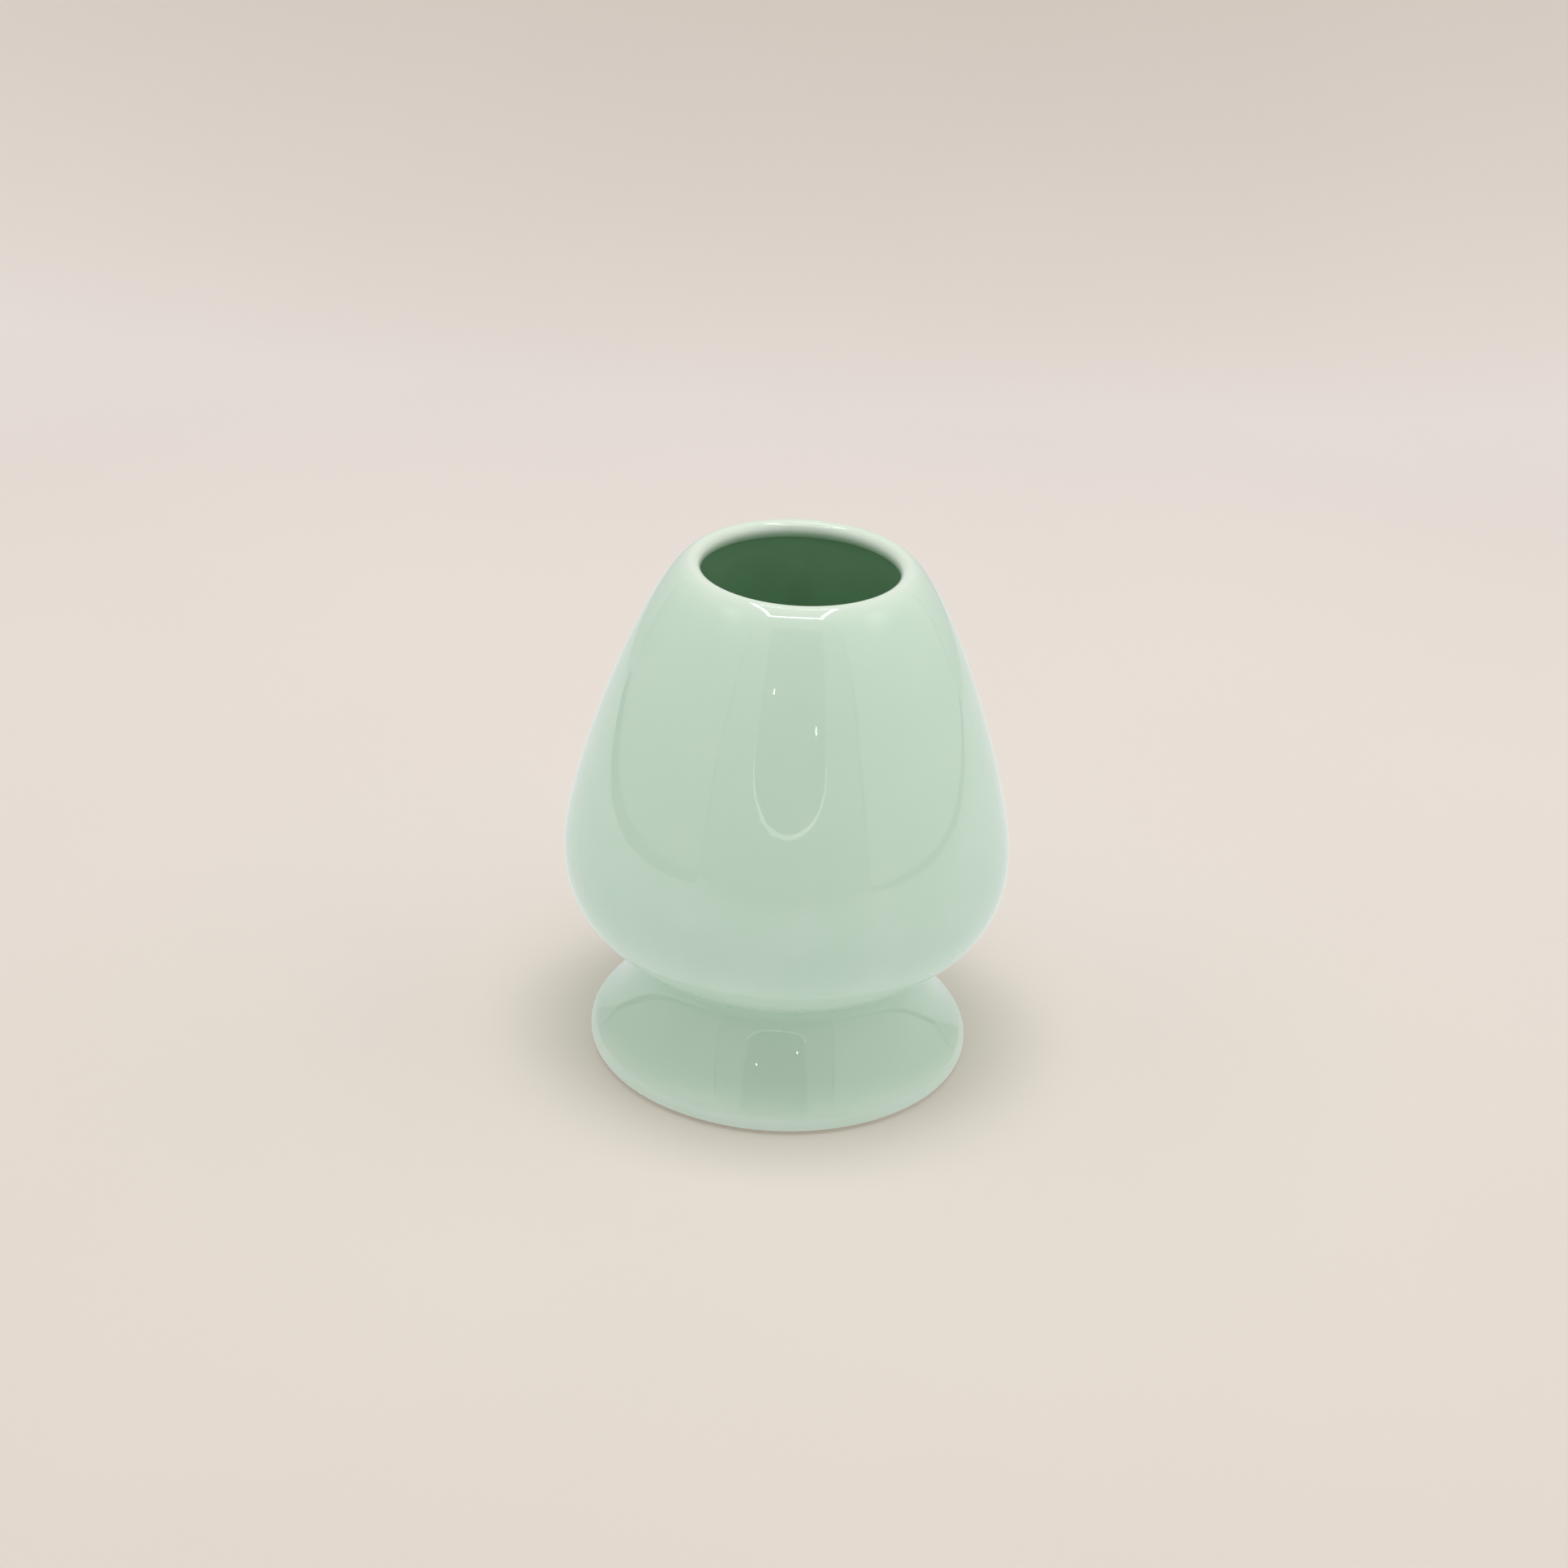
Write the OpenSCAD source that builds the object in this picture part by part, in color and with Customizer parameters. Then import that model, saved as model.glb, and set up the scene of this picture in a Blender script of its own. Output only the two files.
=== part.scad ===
// Tea whisk holder of celadon-glazed porcelain.
// A slip-cast bulb with an open mouth is luted on to a separately cast flared foot,
// and the pot is glazed all over except for the ring that it stands on.
// The origin is the middle of the foot ring, on the standing surface. Sizes are in millimetres.

/* [Overall] */
// Height from the standing surface to the top of the lip
height = 71.5; // [59.5:0.1:86]
// Largest diameter, across the belly of the bulb
bulb_d = 60; // [50:0.5:72]
// Height of the belly above the standing surface
belly_h = 30.6; // [25.5:0.1:36.8]

/* [Mouth] */
// Clear diameter of the throat inside the rounded lip
throat_d = 26; // [21.6:0.2:31.2]
// Slope of the shoulder where it leaves the lip, in degrees from upright
shoulder_slope = 60; // [50:1:72]

/* [Waist] */
// Smallest outside diameter, in the crease between bulb and foot
waist_d = 37.8; // [31.5:0.1:45.4]
// Height of the crease above the standing surface
waist_h = 14.2; // [11.8:0.1:17.1]
// Slope of the bulb's underside where it meets the crease, in degrees from upright
underside_slope = 56; // [47:1:62]
// Radius of the rounded bottom of the crease
crease_r = 0.9; // [0.7:0.05:1.2]

/* [Foot] */
// Largest diameter of the foot
foot_d = 51.7; // [49:0.1:62.1]
// Height of the foot's widest line above the standing surface
rim_h = 1.8; // [1.5:0.05:2.1]
// Radius of the foot's rounded rim
rim_r = 2.7; // [2.3:0.1:3.3]
// Slope of the foot where it leaves the crease, in degrees from upright
flare_top = 6; // [0:1:12]
// Slope of the foot where it reaches the rounded rim, in degrees from upright
flare_bottom = 45; // [38:1:52]
// Width of the bare ring that the foot stands on
ring_w = 2.6; // [2.1:0.1:3.2]
// Radius of the ring's inner edge
ring_edge_r = 1.2; // [1:0.1:1.5]
// Slope of the foot's inside just above the ring, in degrees from upright
inside_slope = 35; // [29:1:42]
// Height of the bare band round the outside of the ring
bare_h = 0.3; // [0.25:0.05:0.4]

/* [Porcelain] */
// Thickness of the bulb's wall, without its glaze
wall_t = 1.8; // [1.5:0.05:2.2]
// Thickness of the bulb's floor, without its glaze
floor_t = 2.2; // [1.8:0.05:2.7]
// How far the bulb's bottom hangs below the crease, inside the foot
bottom_sag = 4.6; // [4:0.1:5.6]
// Width of the land where the foot is luted to the bulb
seam_w = 3.2; // [2.6:0.1:3.9]
// Radius of the smoothed slip in the corner inside the foot
groove_r = 0.5; // [0.4:0.05:0.7]

/* [Glaze] */
// Thickness of every coat of glaze
glaze_t = 0.35; // [0.25:0.01:0.45]

/* [Vent] */
// Clear diameter of the vent in the bulb's floor, inside its glaze
vent_d = 7; // [5.8:0.1:8.4]
// Radius of the vent's rounded edges
vent_edge_r = 0.5; // [0.4:0.05:0.6]

/* [Hidden] */

ROUND = 180;                                  // $fn of every revolved solid
LONG = 28;                                    // steps along a long curve
SHORT = 10;                                   // steps round a small arc
porcelain = "ivory";
slip = "antiquewhite";
celadon = "darkseagreen";
celadon_pale = "palegreen";

bulb_r = bulb_d / 2;
waist_r = waist_d / 2;
foot_r = foot_d / 2;
vent_r = vent_d / 2 + glaze_t;                // radius of the hole in the porcelain
skin_t = wall_t + 2 * glaze_t;                // wall with both its coats
lip_r = skin_t / 2;
lip_c = [throat_d / 2 + lip_r, height - lip_r];
crease_c = [waist_r + crease_r, waist_h];
rim_c = [foot_r - rim_r, rim_h];
bare_a = asin((rim_h - bare_h) / rim_r);      // where the outer glaze stops on the rim
base_a = asin(rim_h / (rim_r - glaze_t));     // where the bare rim meets the ring
ring_in_r = rim_c.x + (rim_r - glaze_t) * cos(base_a) - ring_w;

// A point of a section is [radius, height, n]: n is the angle of the surface's outward normal.
// Every path runs clockwise round the section, with the clay on its right.

// Unit vector at an angle
function dir(a) = [cos(a), sin(a)];
// Direction of travel along a path where the normal is n
function along(n) = dir(n - 90);
// Convex arc about c from normal n0 to normal n1
function bulge(c, r, n0, n1, steps) =
    [for (i = [0 : steps]) let (n = n0 + (n1 - n0) * i / steps, p = c + r * dir(n)) [p.x, p.y, n]];
// Concave arc about c from normal n0 to normal n1
function hollow(c, r, n0, n1, steps) =
    [for (i = [0 : steps]) let (n = n0 + (n1 - n0) * i / steps, p = c - r * dir(n)) [p.x, p.y, n]];
// Cubic curve from p to q that leaves with normal n0 and arrives with normal n1.
// k0 and k1 are the lengths of its two handles, as shares of the straight distance.
function sweep(p, n0, q, n1, k0, k1, steps) =
    let (d = norm(q - p), a = p + k0 * d * along(n0), b = q - k1 * d * along(n1))
    [for (i = [0 : steps])
        let (
            t = i / steps,
            u = 1 - t,
            c = u * u * u * p + 3 * u * u * t * a + 3 * u * t * t * b + t * t * t * q,
            v = u * u * (a - p) + 2 * u * t * (b - a) + t * t * (q - b)
        )
        [c.x, c.y, atan2(v.y, v.x) + 90]];
// The same path moved out along its normals by d, or into the clay where d is negative
function shifted(path, d) = [for (p = path) [p.x + d * cos(p.z), p.y + d * sin(p.z), p.z]];
// The path walked the other way, as the far side of a wall: its normals turn round
function far_side(path) = [for (i = [len(path) - 1 : -1 : 0]) [path[i].x, path[i].y, path[i].z + 180]];
// Radius and height only
function flat(path) = [for (p = path) [p.x, p.y]];
function reversed(path) = [for (i = [len(path) - 1 : -1 : 0]) path[i]];
function last(path) = path[len(path) - 1];
function place(p) = [p.x, p.y];
// A path without the points that lie on the point before them
function thinned(path) =
    [for (i = [0 : len(path) - 1]) if (i == 0 || norm(path[i] - path[i - 1]) > 0.001) path[i]];

// Glazed outside of the bulb, from the throat over the lip to the crease
lip_over = bulge(lip_c, lip_r, 180, shoulder_slope, 2 * SHORT);
side = sweep(place(last(lip_over)), shoulder_slope, [bulb_r, belly_h], 0, 0.15, 0.17, LONG);
crease = hollow(crease_c, crease_r, -underside_slope, flare_top, SHORT);
underside = sweep([bulb_r, belly_h], 0, place(crease[0]), -underside_slope, 0.44, 0.43, LONG);

// Glazed outside of the foot, from the crease to the wiped line on its rim
rim = bulge(rim_c, rim_r, flare_bottom, -bare_a, SHORT);
flare = sweep(place(last(crease)), flare_top, place(rim[0]), flare_bottom, 0.14, 0.41, LONG);

// The seam: the foot's top face lies along the bulb's underside, with slip between the two
seam_out = shifted(crease, -glaze_t);         // slip's fillet on the outside
seat_dir = along(-underside_slope);           // inwards along the seam
slip_t = (crease_r + glaze_t) * (1 - cos(underside_slope + flare_top));
foot_top_in = place(last(seam_out)) + seam_w * seat_dir;
wall_n = flare_top - 180;                     // normal of the foot's inside at its top
groove_turn = 180 - flare_top - underside_slope;
groove_clay_r = groove_r + glaze_t;
groove_len = groove_clay_r * tan(groove_turn / 2);
corner = foot_top_in + slip_t / sin(groove_turn) * along(wall_n);
groove_start = corner - groove_len * along(wall_n);
groove_end = corner + groove_len * seat_dir;
groove_c = groove_start + groove_clay_r * dir(wall_n);
groove = hollow(groove_c, groove_clay_r, wall_n, -underside_slope, SHORT);

// Porcelain under the foot, from the ring's inner edge to the vent
ring_edge_c = [ring_in_r + ring_edge_r, ring_edge_r];
ring_edge = bulge(ring_edge_c, ring_edge_r, -90, inside_slope - 180, SHORT);
foot_inside = sweep(place(last(ring_edge)), inside_slope - 180, groove_start, wall_n, 0.45, 0.33, LONG);
bottom_z = waist_h - bottom_sag;
floor_z = bottom_z + floor_t;
vent_c_r = vent_r + vent_edge_r;
flat_r = vent_c_r + 2 * vent_edge_r;          // bottom and floor are level this far out
bottom = sweep(groove_end, -underside_slope, [flat_r, bottom_z], -90, 0.4, 0.4, SHORT);
vent_low = bulge([vent_c_r, bottom_z + vent_edge_r], vent_edge_r, -90, -180, SHORT);

// Porcelain inside the bulb, from the vent to the throat
vent_high = bulge([vent_c_r, floor_z - vent_edge_r], vent_edge_r, -180, -270, SHORT);
wall_out = thinned(concat(side, underside));  // the outside that the inside runs parallel to
wall_in = far_side(shifted(wall_out, -wall_t - glaze_t));
floor_in = sweep([flat_r, floor_z], 90, place(wall_in[0]), 180 - underside_slope, 0.4, 0.4, LONG / 2);
lip_in = bulge(lip_c, lip_r - glaze_t, shoulder_slope + 180, 180, SHORT);

// Whole surfaces that carry a coat
outside = thinned(concat(lip_over, side, underside, crease, flare, rim));
beneath = thinned(concat(foot_inside, groove, bottom, vent_low));
inside = thinned(concat([last(vent_low)], vent_high, floor_in, wall_in, lip_in));

// Solid of revolution from a closed section
module turned(path) {
    rotate_extrude($fn = ROUND)
        polygon(thinned(flat(path)));
}

// Coat between a surface and the same surface glaze_t further out
module coat(surface) {
    turned(concat(shifted(surface, glaze_t), reversed(surface)));
}

// Slip-cast bulb, with the vent in its floor
module bulb() {
    clay_out = shifted(thinned(concat(lip_over, wall_out)), -glaze_t);
    color(porcelain)
        turned(concat(clay_out, bottom, vent_low, inside));
}

// Flared foot with the bare ring that the pot stands on
module foot() {
    glazed_clay = shifted(thinned(concat(flare, rim)), -glaze_t);
    bare_rim = bulge(rim_c, rim_r - glaze_t, -bare_a, -base_a, SHORT);
    color(porcelain)
        turned(concat(glazed_clay, bare_rim, ring_edge, foot_inside, [foot_top_in]));
}

// Liquid clay that joins the foot to the bulb, smoothed in both corners
module luting_slip() {
    color(slip)
        turned(concat(seam_out, [foot_top_in], groove));
}

// Coat over the lip, bulb and foot, down to the wiped line
module outer_glaze() {
    color(celadon)
        coat(shifted(outside, -glaze_t));
}

// Coat poured into the bulb, from the vent up to the throat
module inner_glaze() {
    color(celadon)
        coat(inside);
}

// Coat inside the foot, from just above the ring to the vent
module underside_glaze() {
    color(celadon_pale)
        coat(beneath);
}

bulb();
foot();
luting_slip();
outer_glaze();
inner_glaze();
underside_glaze();
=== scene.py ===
# %% [markdown]
# # A tea whisk holder in celadon-glazed porcelain
#
# The holder is a small pot: a hollow egg-shaped bulb with an open mouth, joined with liquid clay to a
# flared foot, and glazed all over except for the ring that it stands on. A wet tea whisk dries on it and
# keeps its shape. Each cell of this lesson makes one thing, and says first what it is on the real pot.
#
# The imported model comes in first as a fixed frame. It says where every piece is and how big it is.

# %% Load the frame
import math

import bpy
import numpy as np
from mathutils import Matrix, Vector


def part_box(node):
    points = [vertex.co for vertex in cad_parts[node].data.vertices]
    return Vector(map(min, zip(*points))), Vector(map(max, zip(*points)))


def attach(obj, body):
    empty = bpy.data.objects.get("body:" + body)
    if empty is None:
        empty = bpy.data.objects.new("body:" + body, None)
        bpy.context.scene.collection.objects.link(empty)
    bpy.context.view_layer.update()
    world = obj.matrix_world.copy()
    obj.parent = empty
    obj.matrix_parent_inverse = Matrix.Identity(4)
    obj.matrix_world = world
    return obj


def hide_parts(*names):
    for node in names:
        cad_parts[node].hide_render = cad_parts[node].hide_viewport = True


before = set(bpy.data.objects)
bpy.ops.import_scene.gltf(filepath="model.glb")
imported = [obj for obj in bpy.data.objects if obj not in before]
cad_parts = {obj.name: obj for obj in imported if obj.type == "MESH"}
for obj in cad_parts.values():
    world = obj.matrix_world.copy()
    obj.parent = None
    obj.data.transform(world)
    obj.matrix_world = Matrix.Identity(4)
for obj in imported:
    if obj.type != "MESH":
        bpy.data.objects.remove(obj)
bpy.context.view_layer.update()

print("pieces in the frame:", ", ".join(sorted(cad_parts)))

# %% [markdown]
# ## The sizes of the pot
#
# A pot that is turned or cast has one section, and its whole shape is that section swept round. So the
# sizes below describe a section: radii and heights in millimetres, slopes in degrees. The frame gives the
# overall ones. The rest are the same named sizes as in the design, because a coat of glaze has to lie
# exactly on its clay.

# %% Sizes of the section, in millimetres and degrees
MM = 0.001


def node_reach(name):
    """Largest radius and largest height of a piece in the frame, in millimetres."""
    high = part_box(name)[1]
    return round(high.x / MM, 2), round(high.z / MM, 2)


GLAZE_T = 0.35                                 # thickness of a coat
BULB_R, HEIGHT = node_reach("outer_glaze")
FOOT_R = node_reach("foot")[0] + GLAZE_T
BELLY_H = 30.6                                 # where the bulb is widest
THROAT_R = 13.0                                # clear radius of the mouth
LIP_R = HEIGHT - node_reach("inner_glaze")[1]  # radius of the rounded lip
SHOULDER_SLOPE = 60.0                          # where the lip runs into the side
WAIST_R, WAIST_H = 18.9, 14.2                  # bottom of the crease
UNDERSIDE_SLOPE = 56.0                         # where the bulb meets the crease
CREASE_R = 0.9
RIM_H, RIM_R = 1.8, 2.7                        # rounded rim of the foot
FLARE_TOP, FLARE_BOTTOM = 6.0, 45.0            # slopes of the foot below the crease and above its rim
RING_W, RING_EDGE_R = 2.6, 1.2                 # bare ring that the pot stands on
INSIDE_SLOPE = 35.0                            # inside of the foot just above the ring
BARE_H = 0.3                                   # height of the band that was wiped clean
WALL_T = 1.8                                   # wall without its coats
BOTTOM_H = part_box("bulb")[0].z / MM            # under the bulb, inside the foot
FLOOR_T = 2.2
FLOOR_H = BOTTOM_H + FLOOR_T
SEAM_W = 3.2                                   # land where the foot is luted to the bulb
GROOVE_R = 0.5 + GLAZE_T                       # smoothed corner of the slip, under its coat
VENT_R, VENT_EDGE_R = 3.5 + GLAZE_T, 0.5       # hole in the floor's clay, and its rounded edge

# How far each long curve keeps its first and its last direction, as shares of its straight length
SIDE_HANDLES, UNDERSIDE_HANDLES, FLARE_HANDLES = (0.15, 0.17), (0.44, 0.43), (0.14, 0.41)
FOOT_INSIDE_HANDLES, FLOOR_HANDLES = (0.45, 0.33), (0.4, 0.4)

print(f"bulb {2 * BULB_R:.1f} mm across and {HEIGHT:.1f} mm high, foot {2 * FOOT_R:.1f} mm across")

# %% [markdown]
# ## Drawing a section
#
# Subdivision could round a rough cage, but a potter's section is made of a few true curves, so it is
# clearer to compute those. A path is an array with one row per station: radius, height and the angle of the
# surface's outward normal. With the normal at hand, a coat of any thickness is the same path moved out
# along its normals. Paths run clockwise round the clay, which lies on their right.


# %% Arcs
def towards(angle):
    """Unit vectors at angles in degrees: cosine and sine."""
    turn = np.radians(angle)
    return np.stack([np.cos(turn), np.sin(turn)], axis=-1)


def bulge(centre, radius, start, end, steps):
    """Convex arc: centre plus radius times the normal, as the normal turns from start to end."""
    normal = np.linspace(start, end, steps + 1)
    return np.column_stack([np.array(centre) + radius * towards(normal), normal])


def hollow(centre, radius, start, end, steps):
    """Concave arc: centre minus radius times the normal."""
    normal = np.linspace(start, end, steps + 1)
    return np.column_stack([np.array(centre) - radius * towards(normal), normal])


quarter = bulge((0, 0), 1, 90, 0, 64)
print("a quarter turn goes from", quarter[0].round(3), "to", quarter[-1].round(3))


# %% Long curves
def sweep(start, n0, end, n1, k0, k1, steps):
    """Cubic curve between two points with given normals. The blend of four points u^3, 3u^2t, 3ut^2 and t^3,
    where the handles are k0 and k1 times the straight distance along the path's direction, 90 degrees behind
    the normal."""
    start, end = np.array(start, float), np.array(end, float)
    reach = np.linalg.norm(end - start)
    a = start + k0 * reach * towards(n0 - 90)
    b = end - k1 * reach * towards(n1 - 90)
    t = np.linspace(0, 1, steps + 1)[:, None]
    u = 1 - t
    place = u**3 * start + 3 * u**2 * t * a + 3 * u * t**2 * b + t**3 * end
    speed = u**2 * (a - start) + 2 * u * t * (b - a) + t**2 * (end - b)
    heading = np.unwrap(np.arctan2(speed[:, 1], speed[:, 0]))
    normal = np.degrees(heading) + 90
    normal += 360 * np.round((n0 - normal[0]) / 360)
    return np.column_stack([place, normal])


print("a straight sweep passes its middle at", sweep((0, 0), 90, (2, 0), 90, 0.3, 0.3, 2)[1, :2])

# %% Moving, turning round and joining paths
SAME_PLACE = 1e-4                              # millimetres: stations closer than this are one


def shifted(path, distance):
    """The path moved out along its normals by one distance, or by one for each station."""
    out = path.copy()
    out[:, :2] += np.reshape(distance, (-1, 1)) * towards(path[:, 2])
    return out


def far_side(path):
    """The path walked back, with its normals turned round, as the other face of a wall."""
    return path[::-1] * [1, 1, 1] + [0, 0, 180]


def joined(*paths):
    """Paths end to end, without the stations that repeat the one before."""
    path = np.vstack(paths)
    step = np.linalg.norm(np.diff(path[:, :2], axis=0), axis=1)
    return path[np.concatenate([[True], step > SAME_PLACE])]


def lengths(path):
    """Distance walked along the path up to each station."""
    step = np.linalg.norm(np.diff(path[:, :2], axis=0), axis=1)
    return np.concatenate([[0.0], np.cumsum(step)])


print("a quarter turn of radius 1 measures", round(lengths(quarter)[-1], 4))

# %% [markdown]
# ## The faces of the pot
#
# There are three glazed faces. The outside runs from the throat over the lip, down the bulb, round the
# crease and over the foot to the line where the glaze was wiped off. The face beneath runs up inside the
# foot and under the bulb to the vent. The inside runs from the vent up to the throat. The stations lie
# closer together round small curves, so that reflections bend smoothly there.

# %% Outside, from the throat to the wiped line
lip_centre = (THROAT_R + LIP_R, HEIGHT - LIP_R)
lip_over = bulge(lip_centre, LIP_R, 180, SHOULDER_SLOPE, 22)
side = sweep(lip_over[-1, :2], SHOULDER_SLOPE, (BULB_R, BELLY_H), 0, *SIDE_HANDLES, 50)
crease = hollow((WAIST_R + CREASE_R, WAIST_H), CREASE_R, -UNDERSIDE_SLOPE, FLARE_TOP, 10)
underside = sweep((BULB_R, BELLY_H), 0, crease[0, :2], -UNDERSIDE_SLOPE, *UNDERSIDE_HANDLES, 30)
bare_turn = math.degrees(math.asin((RIM_H - BARE_H) / RIM_R))
rim_centre = (FOOT_R - RIM_R, RIM_H)
rim = bulge(rim_centre, RIM_R, FLARE_BOTTOM, -bare_turn, 12)
flare = sweep(crease[-1, :2], FLARE_TOP, rim[0, :2], FLARE_BOTTOM, *FLARE_HANDLES, 26)
bulb_face = joined(lip_over, side, underside)
foot_face = joined(flare, rim)
outside = joined(bulb_face, crease, foot_face)
print(f"outside: {len(outside)} stations over {lengths(outside)[-1]:.1f} mm")

# %% The seam between bulb and foot
clay_crease = shifted(crease, -GLAZE_T)
seat = towards(-UNDERSIDE_SLOPE - 90)          # inwards along the seam
wall_n = FLARE_TOP - 180
slip_t = (CREASE_R + GLAZE_T) * (1 - math.cos(math.radians(UNDERSIDE_SLOPE + FLARE_TOP)))
foot_top = clay_crease[-1, :2] + SEAM_W * seat
groove_turn = math.radians(180 - FLARE_TOP - UNDERSIDE_SLOPE)
groove_reach = GROOVE_R * math.tan(groove_turn / 2)
corner = foot_top + slip_t / math.sin(groove_turn) * towards(wall_n - 90)
groove_start = corner - groove_reach * towards(wall_n - 90)
groove_end = corner + groove_reach * seat
groove = hollow(groove_start + GROOVE_R * towards(wall_n), GROOVE_R, wall_n, -UNDERSIDE_SLOPE, 10)
print(f"slip {slip_t:.2f} mm thick under a land {SEAM_W} mm wide")

# %% Beneath, from the ring to the vent
ring_turn = math.degrees(math.asin(RIM_H / (RIM_R - GLAZE_T)))
ring_in = rim_centre[0] + (RIM_R - GLAZE_T) * math.cos(math.radians(ring_turn)) - RING_W
ring_slope = INSIDE_SLOPE - 180
ring_edge = bulge((ring_in + RING_EDGE_R, RING_EDGE_R), RING_EDGE_R, -90, ring_slope, 8)
foot_inside = sweep(ring_edge[-1, :2], ring_slope, groove_start, wall_n, *FOOT_INSIDE_HANDLES, 30)
vent_edge_c = VENT_R + VENT_EDGE_R
level_r = vent_edge_c + 2 * VENT_EDGE_R        # the floor is level this far out
bottom = sweep(groove_end, -UNDERSIDE_SLOPE, (level_r, BOTTOM_H), -90, *FLOOR_HANDLES, 20)
vent_low = bulge((vent_edge_c, BOTTOM_H + VENT_EDGE_R), VENT_EDGE_R, -90, -180, 8)
beneath = joined(foot_inside, groove, bottom, vent_low)
print(f"beneath: {len(beneath)} stations, vent {2 * (VENT_R - GLAZE_T):.1f} mm clear")

# %% Inside, from the vent to the throat
vent_high = bulge((vent_edge_c, FLOOR_H - VENT_EDGE_R), VENT_EDGE_R, -180, -270, 8)
wall_in = far_side(shifted(joined(side, underside), -WALL_T - GLAZE_T))
floor_in = sweep((level_r, FLOOR_H), 90, wall_in[0, :2], 180 - UNDERSIDE_SLOPE, *FLOOR_HANDLES, 20)
lip_in = bulge(lip_centre, LIP_R - GLAZE_T, SHOULDER_SLOPE + 180, 180, 10)
inside = joined(vent_low[-1:], vent_high, floor_in, wall_in, lip_in)
print(f"inside: {len(inside)} stations over {lengths(inside)[-1]:.1f} mm")

# %% [markdown]
# ## Sweeping a section round
#
# Blender's Screw modifier sweeps a line too, but it makes a perfect body, and a cast pot isn't one. Here
# the section is swept as one array of points, turns by stations. Every point then moves out a little by the
# same smooth field, so the pieces bend together and still fit. The field has two parts: the body warps
# slightly as it dries and fires, by some hundredths of a millimetre, and glaze runs in soft waves about a
# centimetre long and some thousandths high. They are far too small to see as shape, but they make the edges
# of a reflection waver as on a real pot.

# %% A smooth uneven field
TURNS = 256                                    # stations round the pot
rng = np.random.default_rng(7)


def waves(count, wavelength, height):
    """Waves of one wavelength in random directions: their vectors, their phases and the height of each."""
    heading = rng.normal(size=(count, 3))
    heading /= np.linalg.norm(heading, axis=1, keepdims=True)
    phase = rng.uniform(0, 2 * math.pi, count)
    return heading * 2 * math.pi / wavelength, phase, height / math.sqrt(count / 2)


def field(points, layer):
    """Sum of cosine waves: height times the cosine of wave vector times place plus phase."""
    vectors, phases, height = layer
    return height * np.cos(points @ vectors.T + phases).sum(axis=-1)


WARP = waves(10, 62.0, 0.05)                   # ten waves 62 mm long, together 0.05 mm high
FLOW = waves(24, 13.0, 0.006)                  # 24 waves 13 mm long, together 0.006 mm high
print(f"on the axis at the lip the warp is {field(np.array([0, 0, HEIGHT]), WARP):.3f} mm")

# %% Sweep a closed section into a mesh
SHARP = 35                                     # degrees: edges that turn more than this stay sharp


def turned(name, section, attributes=None):
    """Closed ring of quads. A point is radius times (cosine, sine) of its turn, and its height. It moves out
    from the axis by the warp in proportion to its radius, so the axis and all heights stay. Where a fourth
    column says so, it also moves along its normal by the flow."""
    attributes = attributes or {}
    step = np.linalg.norm(section[:, :2] - np.roll(section[:, :2], 1, axis=0), axis=1)
    kept = step > SAME_PLACE
    section = section[kept]
    radius, height, normal = section.T[:3]
    flows = section[:, 3] if section.shape[1] > 3 else 0.0
    turn = 2 * math.pi * np.arange(TURNS)[:, None] / TURNS
    ray = np.stack([np.cos(turn), np.sin(turn), 0 * turn], axis=-1)
    up = np.array([0, 0, 1.0])
    points = radius[:, None] * ray + height[:, None] * up
    out = towards(normal)
    flow = (flows * field(points, FLOW))[..., None]
    warp = (radius / BULB_R * field(points, WARP))[..., None]
    points = points + warp * ray + flow * (out[:, :1] * ray + out[:, 1:] * up)
    index = np.arange(points[..., 0].size).reshape(points.shape[:2])
    ahead = np.roll(index, -1, axis=1)
    corners = np.stack([index, ahead, np.roll(ahead, -1, axis=0), np.roll(index, -1, axis=0)], axis=-1)
    mesh = bpy.data.meshes.new(name)
    mesh.from_pydata((points * MM).reshape(-1, 3), [], corners.reshape(-1, 4))
    mesh.shade_smooth()
    mesh.set_sharp_from_angle(angle=math.radians(SHARP))
    for label, values in attributes.items():
        layer = mesh.attributes.new(label, "FLOAT", "POINT")
        layer.data.foreach_set("value", np.tile(values[kept], TURNS).astype(np.float32))
    piece = bpy.data.objects.new(name, mesh)
    bpy.context.scene.collection.objects.link(piece)
    print(f"{name}: {len(mesh.polygons)} faces")
    return piece


# %% [markdown]
# ## A coat of glaze
#
# Glaze is glass that melts on the clay. Where the clay turns sharply outwards, as on the lip, it runs thin
# and pale, and in a crease it gathers and looks deeper. A coat could be one material on one mesh, but a
# mesh of its own gives it a true edge: surface tension draws the molten glass into a rounded bead where it
# stops. Its depth is kept as an attribute of the mesh, so that one material can show all of this.


# %% How deep the glaze gathers
def depth(path, blur=1.2, gain=0.9):
    """e to the power of minus gain times the bend of the section. The bend is how far the normal turns per
    millimetre, positive on an outward curve, blurred along the path with a bell curve."""
    walked = lengths(path)
    bend = -np.gradient(np.unwrap(np.radians(path[:, 2])), walked)
    bell = np.exp(-((walked[:, None] - walked[None, :]) ** 2) / (2 * blur**2)) * np.gradient(walked)
    return np.exp(-gain * (bell @ bend) / bell.sum(axis=1))


# The three faces follow on from each other, so the depth is worked out once for the whole glazed surface.
glazed = np.vstack([shifted(beneath, GLAZE_T), shifted(inside, GLAZE_T)[1:], outside[1:]])
gathered = depth(glazed)
vent_at = len(beneath) - 1
throat_at = vent_at + len(inside) - 1
print(f"depth of the coat: {gathered.min():.2f} on the lip, {gathered.max():.2f} in the deepest corner")


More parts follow.
